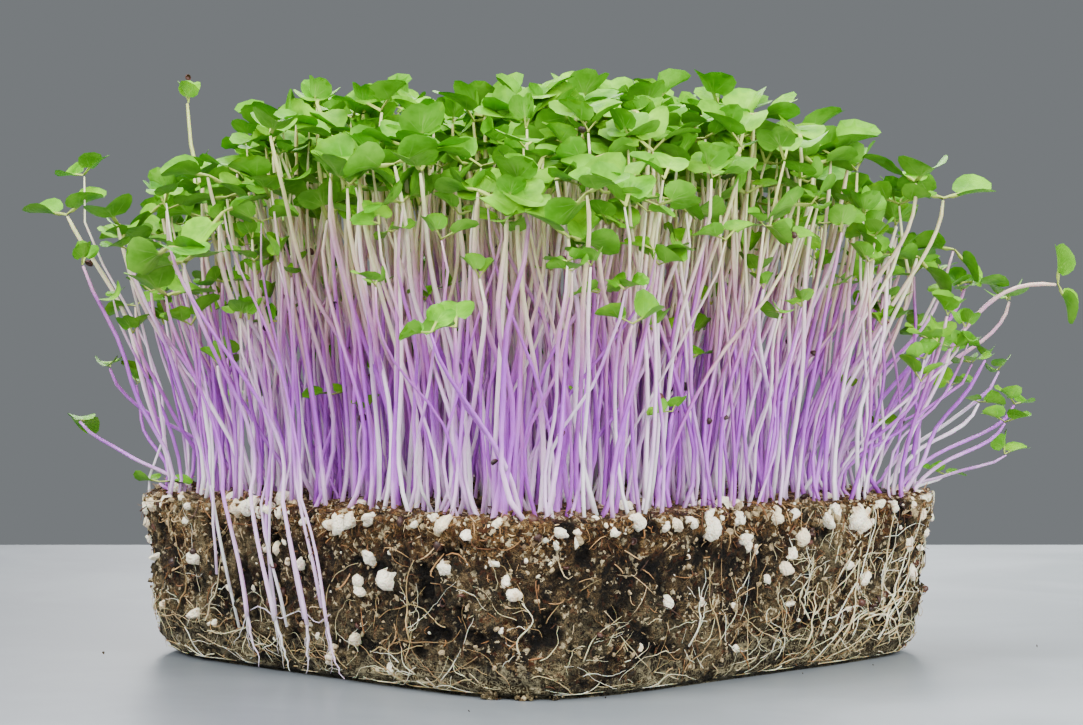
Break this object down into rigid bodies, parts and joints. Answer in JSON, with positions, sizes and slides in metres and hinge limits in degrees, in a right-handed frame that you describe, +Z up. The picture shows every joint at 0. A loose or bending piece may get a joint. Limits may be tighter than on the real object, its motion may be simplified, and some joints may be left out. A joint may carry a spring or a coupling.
{
  "type": "microgreens soil block",
  "caption": "Square block of potting soil, moulded by its tray and held by its roots, with a dense dome of purple-stemmed brassica sprouts that each spread a pair of notched seed leaves.",
  "frame": {"origin": "middle of the root mat's flat underside, on the surface that the block stands on", "axes": "+Z up, along the stems; +X and +Y square to two of the block's walls"},
  "size_m": [0.1527, 0.1697, 0.1115],
  "materials": {
    "soil": "matte, crumbly potting mix of peat and wood fibre",
    "roots": "matte, fibrous",
    "stems": "satin, purple below and pale green above",
    "leaves": "satin, waxy green"
  },
  "bodies": {
    "root": {"soil_block": "soil", "root_mat": "roots", "stems_01": "stems", "stems_02": "stems", "stems_03": "stems", "stems_04": "stems", "stems_05": "stems", "stems_06": "stems", "stems_07": "stems", "stems_08": "stems", "stems_09": "stems", "stems_10": "stems", "stems_11": "stems", "stems_12": "stems", "stems_13": "stems", "stems_14": "stems", "stems_15": "stems", "stems_16": "stems", "stems_17": "stems", "stems_18": "stems", "stems_19": "stems", "stems_20": "stems", "stems_21": "stems", "stems_22": "stems", "stems_23": "stems", "stems_24": "stems", "stems_25": "stems", "stems_on_wall": "stems", "stems_arching": "stems", "stems_leaning": "stems", "leaves_01": "leaves", "leaves_02": "leaves", "leaves_03": "leaves", "leaves_04": "leaves", "leaves_05": "leaves", "leaves_06": "leaves", "leaves_07": "leaves", "leaves_08": "leaves", "leaves_09": "leaves", "leaves_10": "leaves", "leaves_11": "leaves", "leaves_12": "leaves", "leaves_13": "leaves", "leaves_14": "leaves", "leaves_15": "leaves", "leaves_16": "leaves", "leaves_17": "leaves", "leaves_18": "leaves", "leaves_19": "leaves", "leaves_20": "leaves", "leaves_21": "leaves", "leaves_22": "leaves", "leaves_23": "leaves", "leaves_24": "leaves", "leaves_25": "leaves", "leaves_on_wall": "leaves", "leaves_arching": "leaves", "leaves_leaning": "leaves"}
  },
  "joints": []
}
